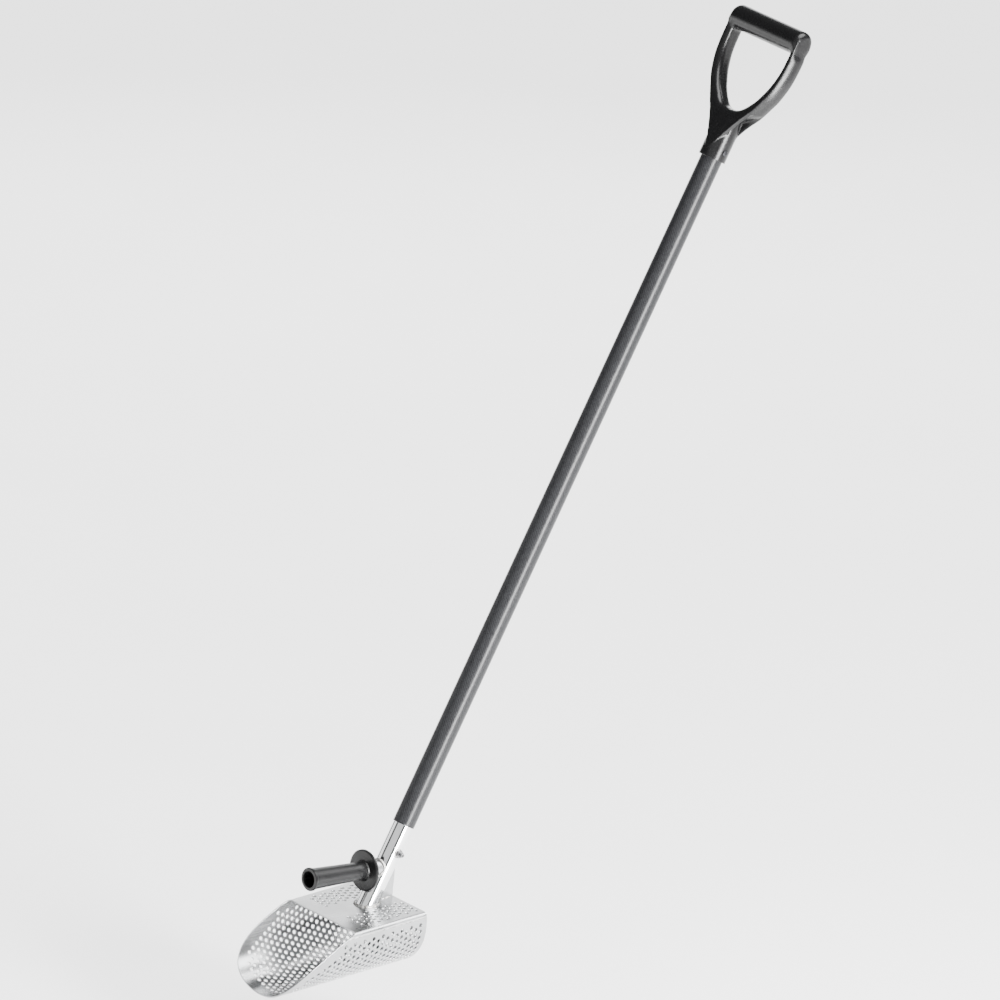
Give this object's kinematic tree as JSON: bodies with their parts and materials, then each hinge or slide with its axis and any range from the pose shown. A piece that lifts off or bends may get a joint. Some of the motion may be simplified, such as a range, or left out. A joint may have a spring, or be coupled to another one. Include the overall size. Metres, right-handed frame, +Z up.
{
  "type": "beach sand scoop",
  "caption": "Long-handled perforated stainless sand scoop with raked mouth, clamped carbon-fibre pole, D-shaped top grip and screw-in side grip with guard disc.",
  "frame": {"origin": "bottom centre of the whole object's box: the middle of the scoop's width, level with the underside of the trough", "axes": "+Z up from the flat bottom line of the trough, -Y the way the mouth faces, +X across the scoop; the pole leans back towards +Y"},
  "size_m": [0.1518, 0.8914, 1.2889],
  "materials": {
    "scoop_steel": "satin",
    "plate_steel": "satin",
    "weld_metal": "rippled",
    "polished_tube": "polished",
    "bracket_steel": "satin",
    "fastener_steel": "turned",
    "brass_tip": "turned",
    "grip_plastic": "fine grain",
    "carbon_fibre": "clear-coated twill weave",
    "liner_aluminium": "turned",
    "handle_plastic": "fine grain"
  },
  "bodies": {
    "handle": {"carbon_pole": "carbon_fibre", "pole_spigot": "liner_aluminium", "d_handle": "handle_plastic", "d_handle_screw": "fastener_steel"},
    "scoop_head": {"scoop_shell": "scoop_steel", "top_plate": "plate_steel", "rear_plate": "plate_steel", "seam_welds": "weld_metal", "rear_weld": "weld_metal", "socket_tube": "polished_tube", "foot_weld": "weld_metal", "gusset_plate": "bracket_steel", "gusset_welds": "weld_metal", "grip_boss": "bracket_steel", "boss_weld": "weld_metal", "clamp_nut": "fastener_steel", "clamp_weld": "weld_metal"},
    "clamp_tip": {"clamp_screw_tip": "brass_tip"},
    "clamp_screw": {"clamp_screw": "fastener_steel"},
    "grip_washer": {"grip_washer": "fastener_steel"},
    "side_grip": {"side_grip": "grip_plastic", "grip_stud": "fastener_steel"}
  },
  "joints": [
    {"name": "head_slide", "type": "slide", "parent": "handle", "child": "scoop_head", "axis": [0, -0.5, -0.866], "range_m": [0, 0.12]},
    {"name": "clamp_feed", "type": "slide", "parent": "scoop_head", "child": "clamp_tip", "axis": [1, 0, 0], "range_m": [0, 0.004]},
    {"name": "clamp_turn", "type": "hinge", "parent": "clamp_tip", "child": "clamp_screw", "pos_m": [0.022, -0.21075, 0.16501], "axis": [1, 0, 0], "range_deg": [0, 1440]},
    {"name": "grip_feed", "type": "slide", "parent": "scoop_head", "child": "grip_washer", "axis": [0, -0.9945, 0.1045], "range_m": [0, 0.0135]},
    {"name": "grip_turn", "type": "hinge", "parent": "grip_washer", "child": "side_grip", "pos_m": [0, -0.26055, 0.14636], "axis": [0, -0.9945, 0.1045], "range_deg": [0, 3240]}
  ],
  "couplings": [
    {"joint": "clamp_turn", "follows": "clamp_feed", "rad_per_m": 6283.2},
    {"joint": "grip_feed", "follows": "grip_turn", "m_per_rad": 0.00023873}
  ]
}
